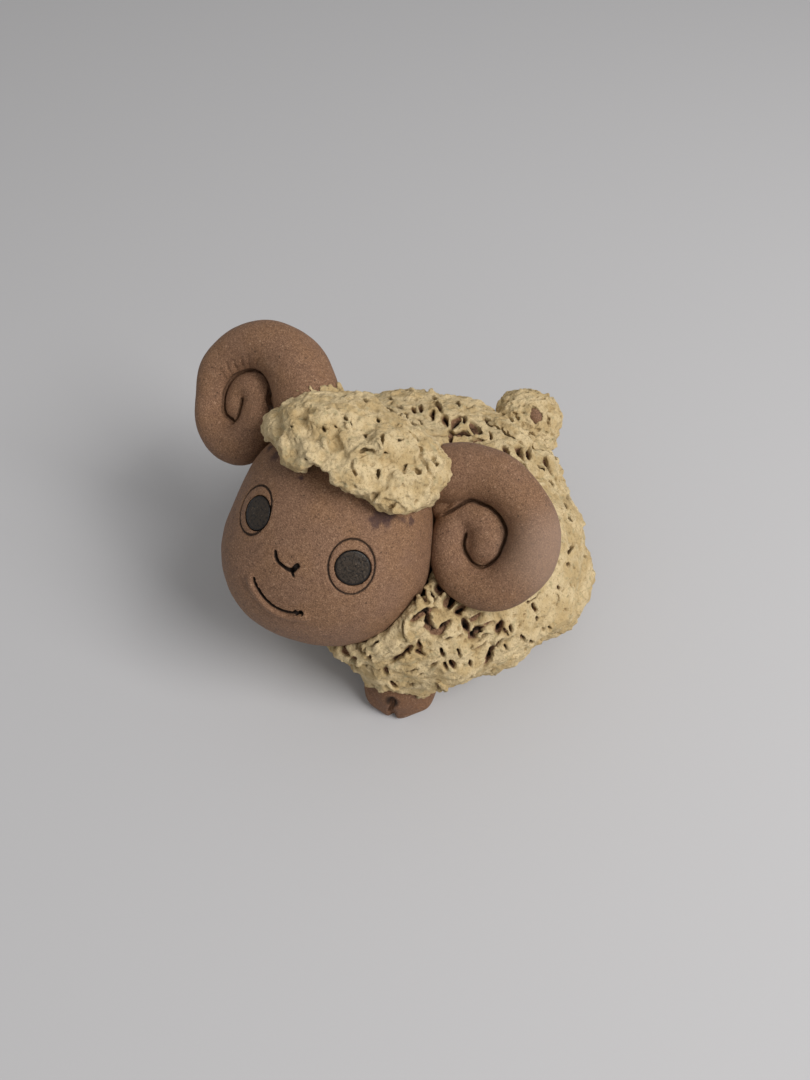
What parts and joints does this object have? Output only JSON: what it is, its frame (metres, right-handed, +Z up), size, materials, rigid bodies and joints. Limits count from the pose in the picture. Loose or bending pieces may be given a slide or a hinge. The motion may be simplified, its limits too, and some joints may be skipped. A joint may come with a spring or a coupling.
{
  "type": "ram figurine",
  "caption": "Hand-built stoneware ram ornament: squat hollow body in a craggy cream wool coat, round smiling face looking up, coiled horns, wool cap and stub tail.",
  "frame": {"origin": "on the ground under the middle of the overall box, between the four hooves", "axes": "+Z up, the ram faces -Y, its left side is +X"},
  "size_m": [0.094, 0.1064, 0.0766],
  "materials": {
    "brown_stoneware": "matte unglazed, fine grog speckle",
    "cream_wool": "matte cream slip clay, torn and pitted",
    "dark_inlay": "dark speckled oxide, faint sheen"
  },
  "bodies": {
    "root": {"body_core": "brown_stoneware", "wool_coat": "cream_wool", "head": "brown_stoneware", "pupil_left": "dark_inlay", "pupil_right": "dark_inlay", "horn_left": "brown_stoneware", "horn_right": "brown_stoneware", "wool_cap": "cream_wool", "leg_front_left": "brown_stoneware", "leg_front_right": "brown_stoneware", "leg_rear_left": "brown_stoneware", "leg_rear_right": "brown_stoneware", "tail_stub": "brown_stoneware", "tail_wool": "cream_wool"}
  },
  "joints": []
}
